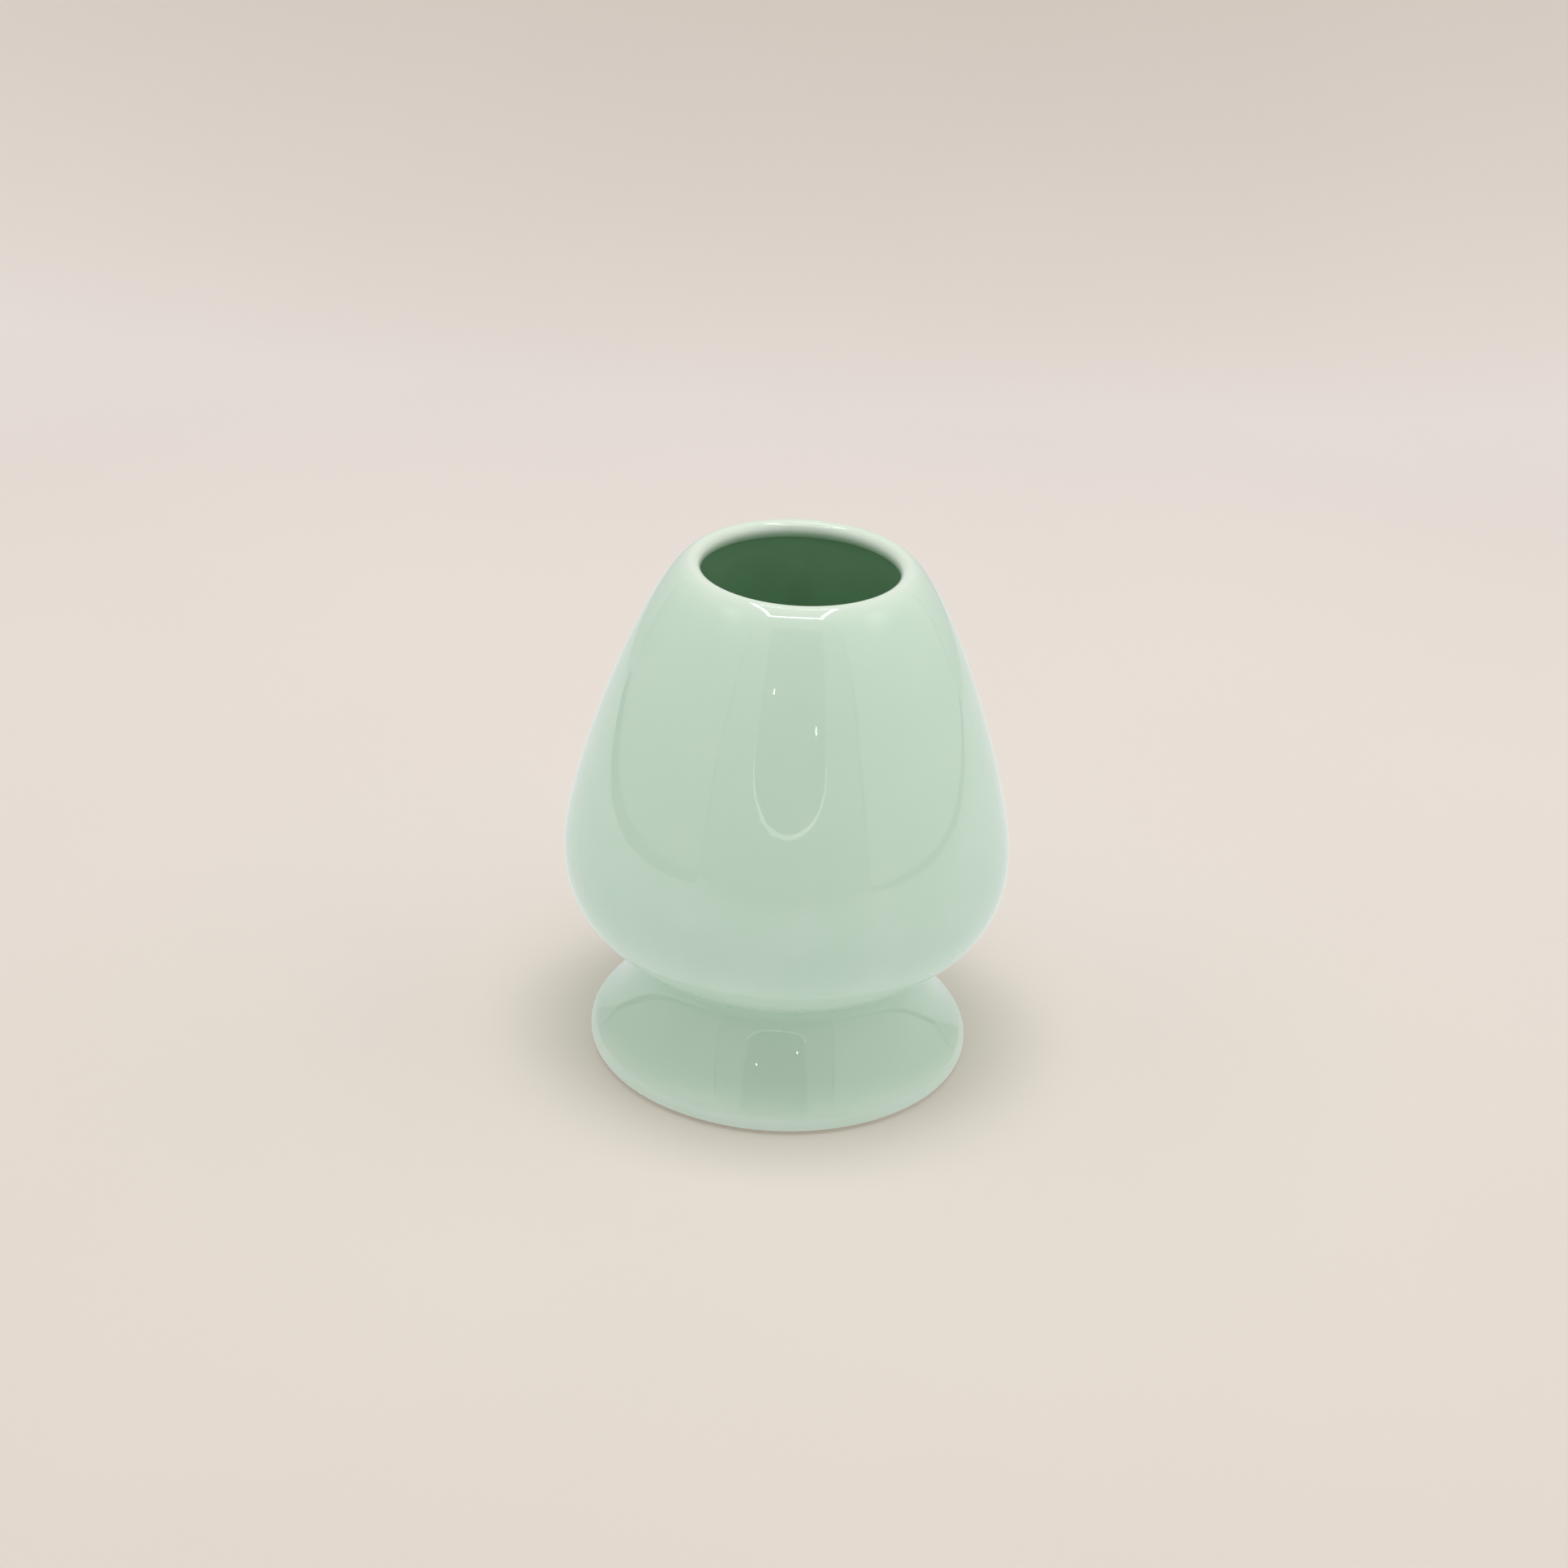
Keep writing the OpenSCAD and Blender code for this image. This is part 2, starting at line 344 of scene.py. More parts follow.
# %% Build the coats
def bead(path, start, end):
    """Share of the full thickness: a quarter ellipse over the given length at each end that is rounded."""
    walked = lengths(path)
    share = np.ones(len(path))
    for reach, distance in ((start, walked), (end, walked[-1] - walked)):
        if reach:
            share *= np.sqrt(1 - (1 - np.clip(distance / reach, 0, 1)) ** 2)
    return share


def coat(name, clay_face, gathers, start=0.0, end=0.0):
    """Ring between the clay's face and that face moved out by the coat's thickness. Only the outer surface
    flows, and the back lies on the clay."""
    surface = shifted(clay_face, GLAZE_T * bead(clay_face, start, end))
    flows = np.concatenate([np.ones(len(surface)), np.zeros(len(surface))])
    section = np.column_stack([np.vstack([surface, clay_face[::-1]]), flows])
    return turned(name, section, {"coat": np.concatenate([gathers, gathers[::-1]])})


BEAD = 0.6                                     # length of a rounded end
outer_glaze = coat("outer_glaze_coat", shifted(outside, -GLAZE_T), gathered[throat_at:], end=BEAD)
inner_glaze = coat("inner_glaze_coat", inside, gathered[vent_at:throat_at + 1])
underside_glaze = coat("underside_glaze_coat", beneath, gathered[:vent_at + 1], start=BEAD)

# %% [markdown]
# ## The clay
#
# The bulb is slip-cast: liquid porcelain is poured into a plaster mould, and what has stiffened on its wall
# is the pot. The foot is cast on its own, and the two are joined with more of the same slip. Most of the
# clay is hidden by the glaze, but the foot's bare ring shows, and a real pot isn't hollow behind its coat.

# %% Build the bulb, the foot and the slip between them
bare_rim = bulge(rim_centre, RIM_R - GLAZE_T, -bare_turn, -ring_turn, 12)
top_of_foot = np.array([[*foot_top, wall_n]])
bulb = turned("bulb_porcelain", joined(shifted(bulb_face, -GLAZE_T), bottom, vent_low, inside))
foot_section = joined(shifted(foot_face, -GLAZE_T), bare_rim, ring_edge, foot_inside, top_of_foot)
foot = turned("foot_porcelain", foot_section)
slip = turned("luting_slip_seam", joined(clay_crease, top_of_foot, groove))

# %% [markdown]
# ## Helpers for materials
#
# Colours are written as the hex values of a paint program, which are sRGB, and Blender's shaders want
# linear light, so one function turns them. Another adds a node with its settings and links. Patterns read
# Object coordinates, which are metres from the middle of the foot, so a pattern's scale is one over its
# real size. A colour mix takes its share at socket 0 and its two colours at sockets 6 and 7.


# %% Colours and nodes
def linear(code):
    """Linear colour of an sRGB hex code: each channel over 12.92 near black, or ((c + 0.055) / 1.055) to the
    power of 2.4."""
    channel = np.array([int(code[i:i + 2], 16) for i in (1, 3, 5)]) / 255
    light = np.where(channel <= 0.04045, channel / 12.92, ((channel + 0.055) / 1.055) ** 2.4)
    return (*light.tolist(), 1.0)


def node(tree, kind, inputs=None, **settings):
    """Adds a node. inputs maps a socket's name or number to a value, or to the output that feeds it."""
    made = tree.nodes.new(kind)
    for name, value in settings.items():
        setattr(made, name, value)
    for name, value in (inputs or {}).items():
        if isinstance(value, bpy.types.NodeSocket):
            tree.links.new(value, made.inputs[name])
        else:
            made.inputs[name].default_value = value
    return made


def new_material(name):
    """A material with an empty tree, and the Object coordinates in it."""
    material = bpy.data.materials.new(name)
    material.use_nodes = True
    tree = material.node_tree
    tree.nodes.clear()
    place = node(tree, "ShaderNodeTexCoord").outputs["Object"]
    return material, tree, place


print("middle grey #808080 is", round(linear("#808080")[0], 3), "in linear light")

# %% [markdown]
# ## Celadon
# Inside the bulb the glaze is a darker, greener copy, which is painted shade and green bounce light.
#
# Celadon is a clear glass with a little iron in it, fired without air, which turns it sea green. On white
# porcelain it gives a soft, milky green that is paler where it is thin. Light could be traced down to the
# clay and back, but that is slow, and a flat layer this thin looks the same as paint under a polish. So the
# colour comes from the coat's depth, and the shine is the shader's own, as smooth as glass.
#
# Melted glass is never quite even. It has a faint mottle some millimetres wide, a ripple about two
# millimetres long that is too shallow to feel, and here and there a pinhole where a bubble burst.


# %% The glaze material
THIN_AT, EVEN_AT, POOLED_AT = 0.45, 1.0, 1.9   # depths of the coat at which it has each of its colours
MOTTLE, MOTTLE_RANGE = 0.009, 0.36             # metres, and how much depth the mottle adds in all
RIPPLE, RIPPLE_H = 0.0022, 4e-6                # metres
HOLE_CELL, HOLE_H = 0.007, 3e-5                # metres
HOLE_FLOOR_R, HOLE_EDGE_R = 0.012, 0.03        # shares of a cell
EMPTY_CELLS = 0.9                              # share of the cells that have no pinhole
HOLE_SHADE = 0.35                              # how far a pinhole darkens: painted shade in its pit


def celadon(name, thin, even, pooled):
    """Gloss over a colour that goes from thin through even to pooled as the coat gets deeper."""
    material, tree, place = new_material(name)
    coat_depth = node(tree, "ShaderNodeAttribute", attribute_name="coat").outputs["Fac"]
    mottle = node(tree, "ShaderNodeTexNoise", {"Vector": place, "Scale": 1 / MOTTLE, "Detail": 3.0})
    centred = {0: mottle.outputs["Fac"], 1: MOTTLE_RANGE, 2: -MOTTLE_RANGE / 2}
    wobble = node(tree, "ShaderNodeMath", centred, operation="MULTIPLY_ADD")
    seen = node(tree, "ShaderNodeMath", {0: coat_depth, 1: wobble.outputs[0]}, operation="ADD").outputs[0]
    to_even = node(tree, "ShaderNodeMapRange", {"Value": seen, "From Min": THIN_AT, "From Max": EVEN_AT})
    to_pooled = node(tree, "ShaderNodeMapRange", {"Value": seen, "From Min": EVEN_AT, "From Max": POOLED_AT})
    thin_to_even = {0: to_even.outputs[0], 6: linear(thin), 7: linear(even)}
    body = node(tree, "ShaderNodeMix", thin_to_even, data_type="RGBA")
    even_to_pooled = {0: to_pooled.outputs[0], 6: body.outputs[2], 7: linear(pooled)}
    glaze = node(tree, "ShaderNodeMix", even_to_pooled, data_type="RGBA")
    # One cell in ten, each about 7 mm wide, has a pinhole 0.3 mm across, drawn twice as wide as a real one.
    cell = node(tree, "ShaderNodeTexVoronoi", {"Vector": place, "Scale": 1 / HOLE_CELL})
    pick = node(tree, "ShaderNodeSeparateColor", {0: cell.outputs["Color"]}).outputs[0]
    picked = node(tree, "ShaderNodeMath", {0: pick, 1: EMPTY_CELLS}, operation="GREATER_THAN").outputs[0]
    edge = {"From Min": HOLE_FLOOR_R, "From Max": HOLE_EDGE_R, "To Min": 1.0, "To Max": 0.0}
    away = {"Value": cell.outputs["Distance"], **edge}
    hole = node(tree, "ShaderNodeMapRange", away, interpolation_type="SMOOTHSTEP")
    pinhole = node(tree, "ShaderNodeMath", {0: hole.outputs[0], 1: picked}, operation="MULTIPLY").outputs[0]
    shade = node(tree, "ShaderNodeMath", {0: pinhole, 1: HOLE_SHADE}, operation="MULTIPLY").outputs[0]
    # A pinhole's darker colour is painted shade in its pit.
    glaze_to_hole = {0: shade, 6: glaze.outputs[2], 7: linear("#6E7F63")}
    colour = node(tree, "ShaderNodeMix", glaze_to_hole, data_type="RGBA")
    ripple = node(tree, "ShaderNodeTexNoise", {"Vector": place, "Scale": 1 / RIPPLE, "Detail": 1.0})
    rippled = {"Strength": 1.0, "Distance": RIPPLE_H, "Height": ripple.outputs["Fac"]}
    skin = node(tree, "ShaderNodeBump", rippled)
    sunk = {"Strength": 1.0, "Distance": HOLE_H, "Height": pinhole, "Normal": skin.outputs[0]}
    dip = node(tree, "ShaderNodeBump", sunk, invert=True)
    gloss = {"Base Color": colour.outputs[2], "Roughness": 0.03, "IOR": 1.52, "Normal": dip.outputs[0]}
    shader = node(tree, "ShaderNodeBsdfPrincipled", gloss)
    node(tree, "ShaderNodeOutputMaterial", {"Surface": shader.outputs[0]})
    print(f"{name}: {len(tree.nodes)} nodes")
    return material


outer_celadon = celadon("celadon_glaze", "#DFE9DA", "#CCE3CE", "#C0DCC6")
# The inside's darker, greener colours are painted shade and green bounce light in the closed bulb.
inside_celadon_painted_shade = celadon("celadon_glaze_inside_painted_shade", "#DCECD8", "#B5DEBB", "#97CCA5")

# %% [markdown]
# ## Bare porcelain and slip
#
# Unglazed porcelain is vitrified clay: hard, dense and matt, with a grain as fine as flour. Where the glaze
# was wiped off, a trace of it stays in the pores, so the ring is a warm white and not chalk white. The slip
# is the same clay with more water, and it fires a little rougher.


# %% The clay materials
STAIN = 0.005                                  # metres
MATT_RANGE = 0.06                              # how far the roughness varies either way


def fired_clay(name, light, dark, grain, roughness):
    """Matt white with a soft stain a few millimetres wide and a grain of the given size in metres."""
    material, tree, place = new_material(name)
    stain = node(tree, "ShaderNodeTexNoise", {"Vector": place, "Scale": 1 / STAIN, "Detail": 4.0})
    light_to_dark = {0: stain.outputs["Fac"], 6: linear(light), 7: linear(dark)}
    colour = node(tree, "ShaderNodeMix", light_to_dark, data_type="RGBA")
    powder = node(tree, "ShaderNodeTexNoise", {"Vector": place, "Scale": 1 / grain, "Detail": 2.0})
    span = {"To Min": roughness - MATT_RANGE, "To Max": roughness + MATT_RANGE}
    matt = node(tree, "ShaderNodeMapRange", {"Value": powder.outputs["Fac"], **span})
    grains = {"Strength": 0.6, "Distance": grain / 12, "Height": powder.outputs["Fac"]}
    rough = node(tree, "ShaderNodeBump", grains)
    biscuit = {"Base Color": colour.outputs[2], "Roughness": matt.outputs[0], "IOR": 1.5}
    shader = node(tree, "ShaderNodeBsdfPrincipled", {**biscuit, "Normal": rough.outputs[0]})
    node(tree, "ShaderNodeOutputMaterial", {"Surface": shader.outputs[0]})
    print(f"{name}: grain {grain / MM:.2f} mm")
    return material


porcelain = fired_clay("bare_porcelain", "#F1EAE0", "#E3D8CA", 0.0003, 0.58)
slip_clay = fired_clay("luting_slip", "#EEE6DA", "#DFD2C2", 0.0004, 0.66)

# %% [markdown]
# ## Putting the pieces on the frame
#
# Nothing moves on this pot, so every piece rides on the one body. Each piece stands for its own node of the
# frame, which it hides. The table also lists the finish of the record that each wears, but nothing here uses
# it.

# %% Dress the pieces and fix them to the frame
PIECES = (
    (bulb, "bulb", "porcelain", porcelain),
    (foot, "foot", "porcelain", porcelain),
    (slip, "luting_slip", "slip", slip_clay),
    (outer_glaze, "outer_glaze", "celadon_glaze", outer_celadon),
    (inner_glaze, "inner_glaze", "celadon_glaze", inside_celadon_painted_shade),
    (underside_glaze, "underside_glaze", "celadon_glaze", outer_celadon),
)
for piece, cad_node, finish, material in PIECES:
    piece.data.materials.append(material)
    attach(piece, "root")
    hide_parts(cad_node)
print(f"{len(PIECES)} pieces ride on the frame")

# %% [markdown]
# ## The floor and the backdrop
#
# A small pot is shown on a sheet of paper that curves up behind it, so that no line shows where the floor
# ends. Here the sheet curves up on all sides, because the pot is looked at from all sides. Its tone is
# painted light: palest just behind the pot, darker in front and up the wall, where the tent's light falls
# off. It is there for the camera alone, and catches the pot's shadow. Just under it lies a white sheet that
# glows a little, like a light table. That is the floor that the pot itself sees, and it keeps the foot's
# rim and the crease from going dark. Other rays pass through the curved wall, so the room's light comes in
# evenly.

# %% Floor and curved backdrop
LEVEL_R, COVE_START, COVE_R, WALL_TOP = 0.06, 0.24, 0.24, 1.2   # metres: ring, cove and wall of the backdrop
SHEET_R, SHEET_Z = 0.7, -0.0001                # white sheet
CARD_R, CARD_Z = 0.0215, -0.00005              # plain card under the foot
MIDDLE_R = 0.0005                              # small hole in the middle of each of them
CIRCLE = 96                                    # stations round them
RAYS = ("camera", "diffuse", "glossy", "transmission", "volume_scatter", "shadow")


def show_to(thing, *rays):
    """Lets only these kinds of ray meet a thing."""
    for ray in RAYS:
        setattr(thing, f"visible_{ray}", ray in rays)


def stage_piece(name, points, faces, material, *rays):
    """A mesh that isn't part of the pot, and that only some rays meet."""
    mesh = bpy.data.meshes.new(name)
    mesh.from_pydata(points, [], faces)
    mesh.shade_smooth()
    mesh.materials.append(material)
    made = bpy.data.objects.new(name, mesh)
    bpy.context.scene.collection.objects.link(made)
    show_to(made, *rays)
    return made


def revolved(profile):
    """Points and faces of a sheet: a profile's radii and heights swept round a full circle, faces inwards."""
    turn = 2 * math.pi * np.arange(CIRCLE)[:, None] / CIRCLE
    radius, height = profile.T
    points = np.stack([radius * np.cos(turn), radius * np.sin(turn), height + 0 * turn], axis=-1)
    index = np.arange(CIRCLE * len(profile)).reshape(CIRCLE, -1)
    beside = np.roll(index, -1, axis=0)
    faces = np.stack([index[:, :-1], index[:, 1:], beside[:, 1:], beside[:, :-1]], axis=-1)
    return points.reshape(-1, 3), faces.reshape(-1, 4)


CLOUD, CLOUD_RANGE = 0.06, 0.015               # metres, and how far the cloudiness goes from the tone


def paper(name, tones, glows=0.0):
    """Matt paper with a faint cloudiness a few centimetres wide. Its tones are colours at distances in metres
    behind the pot, and it may glow a little."""
    material, tree, place = new_material(name)
    depth_at = node(tree, "ShaderNodeSeparateXYZ", {0: place}).outputs["Y"]
    # The scale ends a millimetre beyond the last tone, so that paper of one tone has a scale too.
    first, last = min(tones), max(tones) + MM
    along = node(tree, "ShaderNodeMapRange", {"Value": depth_at, "From Min": first, "From Max": last})
    ramp = node(tree, "ShaderNodeValToRGB", {0: along.outputs[0]})
    stops = ramp.color_ramp.elements
    while len(stops) < len(tones):
        stops.new(1.0)
    while len(stops) > len(tones):
        stops.remove(stops[-1])
    for stop, (distance, colour) in zip(stops, sorted(tones.items())):
        stop.position = (distance - first) / (last - first)
        stop.color = linear(colour)
    cloud = node(tree, "ShaderNodeTexNoise", {"Vector": place, "Scale": 1 / CLOUD, "Detail": 2.0})
    span = {"To Min": 1 - CLOUD_RANGE, "To Max": 1 + CLOUD_RANGE}
    tone = node(tree, "ShaderNodeMapRange", {"Value": cloud.outputs["Fac"], **span})
    tint = {0: ramp.outputs["Color"], "Scale": tone.outputs[0]}
    scaled = node(tree, "ShaderNodeVectorMath", tint, operation="SCALE")
    matt = node(tree, "ShaderNodeBsdfDiffuse", {"Color": scaled.outputs[0]})
    light = node(tree, "ShaderNodeEmission", {"Color": linear("#FFFFFF"), "Strength": glows})
    material.cycles.emission_sampling = "NONE"
    both = node(tree, "ShaderNodeAddShader", {0: matt.outputs[0], 1: light.outputs[0]})
    node(tree, "ShaderNodeOutputMaterial", {"Surface": both.outputs[0]})
    return material


climb = np.radians(np.linspace(0, 90, 25))
cove = np.stack([COVE_START + COVE_R * np.sin(climb), COVE_R * (1 - np.cos(climb))], axis=-1)
backdrop = np.vstack([[[MIDDLE_R, 0], [LEVEL_R, 0]], cove, [[COVE_START + COVE_R, WALL_TOP]]])
# The paper's tones are painted light: palest where the sheet starts to curve up, darker towards the front and
# up the wall.
paper_with_painted_falloff = paper("paper_with_painted_falloff", {-0.12: "#E5DBD1", 0.0: "#E9DFD6", 0.25: "#F6ECE5", 0.42: "#DFD4C9"})
stage_piece("floor_and_backdrop", *revolved(backdrop), paper_with_painted_falloff, "camera")
light_table = paper("light_table", {0.0: "#CDCED0"}, glows=0.29)
white_sheet = np.array([[MIDDLE_R, SHEET_Z], [SHEET_R, SHEET_Z]])
pot_sees = ("diffuse", "glossy", "transmission", "shadow")
stage_piece("white_sheet", *revolved(white_sheet), light_table, *pot_sees)
# Under the foot lies a plain card, or the glow would shine up through the vent.
plain_card = np.array([[MIDDLE_R, CARD_Z], [CARD_R, CARD_Z]])
stage_piece("plain_card", *revolved(plain_card), paper("plain_card", {0.0: "#E0E0E0"}), *pot_sees)
print(f"the backdrop stands {COVE_START + COVE_R:.2f} m from the pot and is {WALL_TOP:.1f} m high")

# %% [markdown]
# ## Light
#
# Glossy pots are shown in a small tent of white cloth with lamps in its roof, because a pot like this
# mirrors everything round it. The shade on the pot comes from even light on all sides and a panel of lamps
# overhead, with weaker panels at both sides. A grey card keeps some of the light off the front, where the
# tent has its opening.

# %% Even light, three panels and a grey card in front
ROOF_H = 0.600                                 # metres, as are all sizes of the tent
UNDER_ROOF = ROOF_H - 0.005                    # height of the lamps
FRONT_Y, BACK_Y = -0.313, 0.235
LEFT_X, RIGHT_FRONT_X, RIGHT_BACK_X = -0.285, 0.272, 0.310
EVEN_LIGHT = 0.53                              # radiance of the light from all sides
world = bpy.data.worlds.new("even_light")
world.use_nodes = True
world.node_tree.nodes["Background"].inputs["Color"].default_value = linear("#FFFFFF")
world.node_tree.nodes["Background"].inputs["Strength"].default_value = EVEN_LIGHT
world.cycles_visibility.glossy = False
bpy.context.scene.world = world

# Each panel: where it hangs, how it is turned, how wide and deep it is, and its radiance.
PANELS = {
    "overhead": ((0.0, -0.060, UNDER_ROOF), 0, 0.330, 0.340, 3.9),
    "left": ((LEFT_X, -0.040, 0.310), -90, 0.560, 0.520, 0.26),
    "right": ((RIGHT_BACK_X, -0.040, 0.310), 90, 0.560, 0.520, 0.38),
}
for name, (spot, turned_by, wide, deep, radiance) in PANELS.items():
    lamp = bpy.data.lights.new(f"{name}_panel", "AREA")
    lamp.shape = "RECTANGLE"
    lamp.size, lamp.size_y = wide, deep
    lamp.energy = radiance * math.pi * wide * deep
    holder = bpy.data.objects.new(lamp.name, lamp)
    holder.location = spot
    holder.rotation_euler.y = math.radians(turned_by)
    holder.visible_camera = holder.visible_glossy = False
    bpy.context.scene.collection.objects.link(holder)


def upright(start, end, bottom=0.0, top=ROOF_H):
    """Corners of a wall over a line on the floor."""
    return [(*start, bottom), (*end, bottom), (*end, top), (*start, top)]


def cloth(name, corners, material, *rays):
    """One flat piece between four corners, which only reflections see unless other rays are named."""
    return stage_piece(name, corners, [(0, 1, 2, 3)], material, *(rays or ("glossy",)))


front_line = ((LEFT_X, FRONT_Y), (RIGHT_FRONT_X, FRONT_Y))
cloth("grey_card", upright(*front_line), paper("grey_card", {0.0: "#BCBCBC"}), "diffuse", "shadow")
print(f"{len(PANELS)} panels of lamps, the highest {UNDER_ROOF / MM:.0f} mm above the floor")

# %% [markdown]
# ## What the glaze mirrors
#
# A mirrored wall could be the same thing that lights the pot, but then a brighter reflection would change
# the shade too. So the two are made apart. The tent's cloth is a set of glowing cards that only reflections
# can see: four walls with dark gaps in the corners and shadowed hems, a roof, the frame of lamps under it,
# and an opening in front. That opening is the long rounded shape down the middle of the bulb, and two small
# lamps in the room beyond it make the glints there.


# %% Cloth that only reflections see
def glow(name, low, high, hot=None):
    """White light. Its strength goes from low on the floor to high at the roof, and grows towards a hot spot,
    given as its place, its reach and what it adds. The renderer doesn't aim at it, which keeps the picture
    clean."""
    material, tree, place = new_material(name)
    material.cycles.emission_sampling = "NONE"
    height = node(tree, "ShaderNodeSeparateXYZ", {0: place}).outputs["Z"]
    rise = {"Value": height, "From Max": ROOF_H, "To Min": low, "To Max": high}
    strength = node(tree, "ShaderNodeMapRange", rise).outputs[0]
    if hot:
        centre, reach, extra = hot
        away = node(tree, "ShaderNodeVectorMath", {0: place, 1: centre}, operation="DISTANCE")
        fall = {"Value": away.outputs["Value"], "From Max": reach, "To Min": extra, "To Max": 0.0}
        spot = node(tree, "ShaderNodeMapRange", fall, interpolation_type="SMOOTHSTEP").outputs[0]
        strength = node(tree, "ShaderNodeMath", {0: strength, 1: spot}, operation="ADD").outputs[0]
    white = node(tree, "ShaderNodeEmission", {"Color": linear("#FFFFFF"), "Strength": strength})
    node(tree, "ShaderNodeOutputMaterial", {"Surface": white.outputs[0]})
    return material


GAP = 0.006                                    # half of the dark gap between two cloths
HEM, FRONT_HEM = 0.014, 0.003                  # heights of the shadowed hems
FRONT_LOW = 0.016                              # height of the front cloth's lower edge
BAND_H = 0.072                                 # height of the opening's lower end
HOT_REACH, HOT_EXTRA = 0.12, 1.3               # bright spots that lamps outside make on the side cloths
left_line = ((LEFT_X, FRONT_Y + GAP), (LEFT_X, BACK_Y - GAP))
right_line = ((RIGHT_FRONT_X, FRONT_Y + GAP), (RIGHT_BACK_X, BACK_Y - GAP))
back_line = ((LEFT_X, BACK_Y), (RIGHT_BACK_X, BACK_Y))
left_hot = ((LEFT_X, -0.10, 0.36), HOT_REACH, HOT_EXTRA)
right_hot = ((RIGHT_FRONT_X + 0.015, -0.04, 0.31), HOT_REACH, HOT_EXTRA)
cloth("left_cloth", upright(*left_line, HEM, ROOF_H - GAP), glow("left_cloth", 0.50, 0.9, left_hot))
cloth("right_cloth", upright(*right_line, HEM, ROOF_H - GAP), glow("right_cloth", 0.70, 0.95, right_hot))
cloth("back_cloth", upright(*back_line), glow("back_cloth", 0.6, 0.8))
cloth("front_band", upright(*front_line, FRONT_LOW, BAND_H), glow("front_band", 0.35, 0.45))
hem_shade = glow("hem_shade", 0.12, 0.12)
cloth("left_hem", upright(*left_line, 0.0, HEM), hem_shade)
cloth("right_hem", upright(*right_line, HEM / 2, HEM), hem_shade)
cloth("front_hem", upright(*front_line, FRONT_LOW - FRONT_HEM, FRONT_LOW), hem_shade)
roof = [(x, y, ROOF_H) for y in (FRONT_Y, BACK_Y) for x in (LEFT_X, RIGHT_BACK_X)]
cloth("roof_cloth", [roof[0], roof[1], roof[3], roof[2]], glow("roof_cloth", 0.8, 0.8))
print(f"the tent stands on {(RIGHT_FRONT_X - LEFT_X) / MM:.0f} by {(BACK_Y - FRONT_Y) / MM:.0f} mm")

# %% The lamps that the lip mirrors
LAMP_X, LAMP_Y = (-0.180, 0.150), (-0.230, 0.110)   # middle lines of the frame of lamps
LAMP_W, LAMP_GLOW = 0.025, 17.0
lamp_light = glow("lamps", LAMP_GLOW, LAMP_GLOW)
outer_x, outer_y = np.add(LAMP_X, (-LAMP_W / 2, LAMP_W / 2)), np.add(LAMP_Y, (-LAMP_W / 2, LAMP_W / 2))
inner_x, inner_y = np.add(LAMP_X, (LAMP_W / 2, -LAMP_W / 2)), np.add(LAMP_Y, (LAMP_W / 2, -LAMP_W / 2))
for side_name, (x0, x1), (y0, y1) in (
    ("front", outer_x, (outer_y[0], inner_y[0])),
    ("back", outer_x, (inner_y[1], outer_y[1])),
    ("left", (outer_x[0], inner_x[0]), inner_y),
    ("right", (inner_x[1], outer_x[1]), inner_y),
):
    corners = [(x0, y0), (x1, y0), (x1, y1), (x0, y1)]
    cloth(f"lamp_{side_name}", [(x, y, UNDER_ROOF) for x, y in corners], lamp_light)
print(f"the frame of lamps is {LAMP_W / MM:.0f} mm wide")

# %% The front cloth with its opening
ARCH_W, ARCH_H = 0.115, 0.050                  # half width and height of the opening's rounded bottom
OPENING_TOP, WIDENS = 0.430, 0.10              # its top, and how far its sides lean out
EDGE = 0.004                                   # lit edge of the cloth round the bottom of the opening
arc = np.radians(np.linspace(0, 90, 24))
arch_z = BAND_H + ARCH_H * (1 - np.cos(arc))
edge_z = np.append(arch_z, OPENING_TOP)
edge_x = np.append(ARCH_W * np.sin(arc), ARCH_W + WIDENS * (OPENING_TOP - BAND_H - ARCH_H))


def strip(name, x_a, z_a, x_b, z_b, material, y=FRONT_Y):
    """Cloth in a plane like the front's between two lines of points."""
    a = np.stack([x_a, y + 0 * x_a, z_a], axis=-1)
    b = np.stack([x_b, y + 0 * x_b, z_b], axis=-1)
    i = np.arange(len(a) - 1)
    faces = np.stack([i, i + 1, i + 1 + len(a), i + len(a)], axis=-1)
    return stage_piece(name, np.vstack([a, b]), faces, material, "glossy")


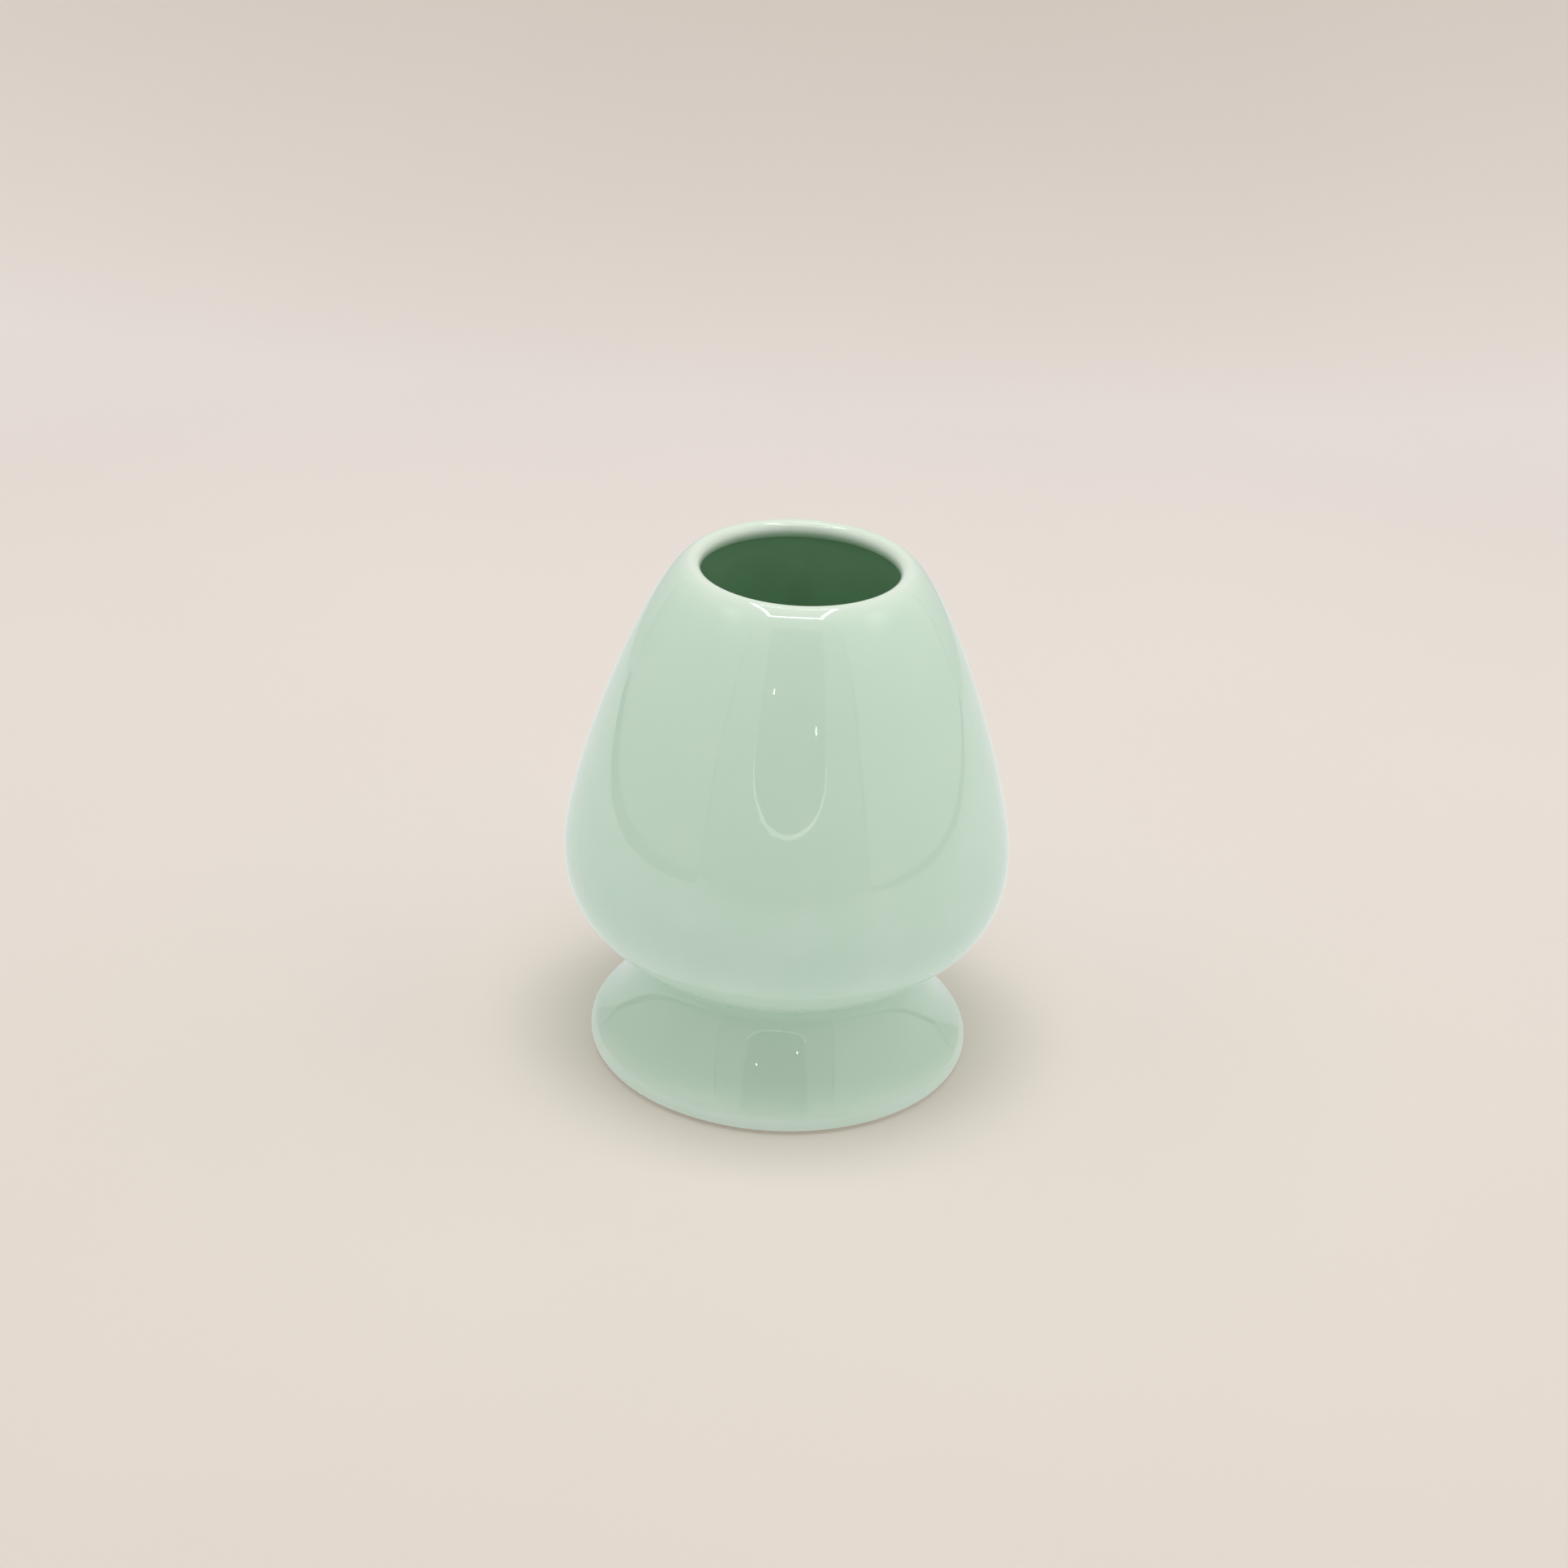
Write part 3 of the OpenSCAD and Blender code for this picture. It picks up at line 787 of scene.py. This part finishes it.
front_glow = glow("front_cloth", 0.45, 0.6)
edge_glow = glow("lit_edge", 2.5, 2.5)
for side_name, side_x, sign in (("left", LEFT_X + GAP, -1), ("right", RIGHT_FRONT_X - GAP, 1)):
    strip(f"front_{side_name}", side_x + 0 * edge_z, edge_z, sign * edge_x, edge_z, front_glow)
    outer = (sign * (ARCH_W + EDGE) * np.sin(arc), arch_z - EDGE * np.cos(arc))
    inner = (sign * ARCH_W * np.sin(arc), arch_z)
    strip(f"lit_edge_{side_name}", *inner, *outer, edge_glow, FRONT_Y + 0.001)
cloth("front_over", upright(*front_line, OPENING_TOP, ROOF_H - GAP), front_glow)
print(f"the front cloth opens {2 * ARCH_W / MM:.0f} mm wide")

# %% Two small lamps in the room beyond the opening
ROOM_LAMPS = ((-0.075, 0.193), (0.084, 0.150))  # how far to the right and how high each one shows
LAMP_HALF_W, LAMP_HALF_H, ROOM_GLOW = 0.0025, 0.004, 16.0
room_light = glow("room_lamp", ROOM_GLOW, ROOM_GLOW)
for number, (x, z) in enumerate(ROOM_LAMPS):
    lamp_line = ((x - LAMP_HALF_W, FRONT_Y), (x + LAMP_HALF_W, FRONT_Y))
    cloth(f"room_lamp_{number}", upright(*lamp_line, z - LAMP_HALF_H, z + LAMP_HALF_H), room_light)
print(f"{len(ROOM_LAMPS)} glints on the bulb")

# %% [markdown]
# ## The camera
#
# The camera looks down on the pot from about an arm's length, a little rolled, as when it is held by hand.
# Its lens is long for so small a thing, so the pot is hardly distorted.

# %% Camera
CAMERA_AT = Vector((0, -386.8, 237.5)) * MM
LOOK_DOWN, LOOK_LEFT, ROLL = (math.radians(degrees) for degrees in (27.15, 0.109, 2.9))
SENSOR_W, LENS = 36, 74.53                     # millimetres
camera = bpy.data.objects.new("camera", bpy.data.cameras.new("camera"))
camera.data.sensor_width, camera.data.lens = SENSOR_W, LENS
aim = Matrix.Rotation(LOOK_LEFT, 4, "Z") @ Matrix.Rotation(math.pi / 2 - LOOK_DOWN, 4, "X")
camera.matrix_world = Matrix.Translation(CAMERA_AT) @ aim @ Matrix.Rotation(ROLL, 4, "Z")
bpy.context.scene.collection.objects.link(camera)
bpy.context.scene.camera = camera
bpy.context.scene.view_settings.view_transform = "Standard"
print(f"camera {camera.location.length:.3f} m from the foot")
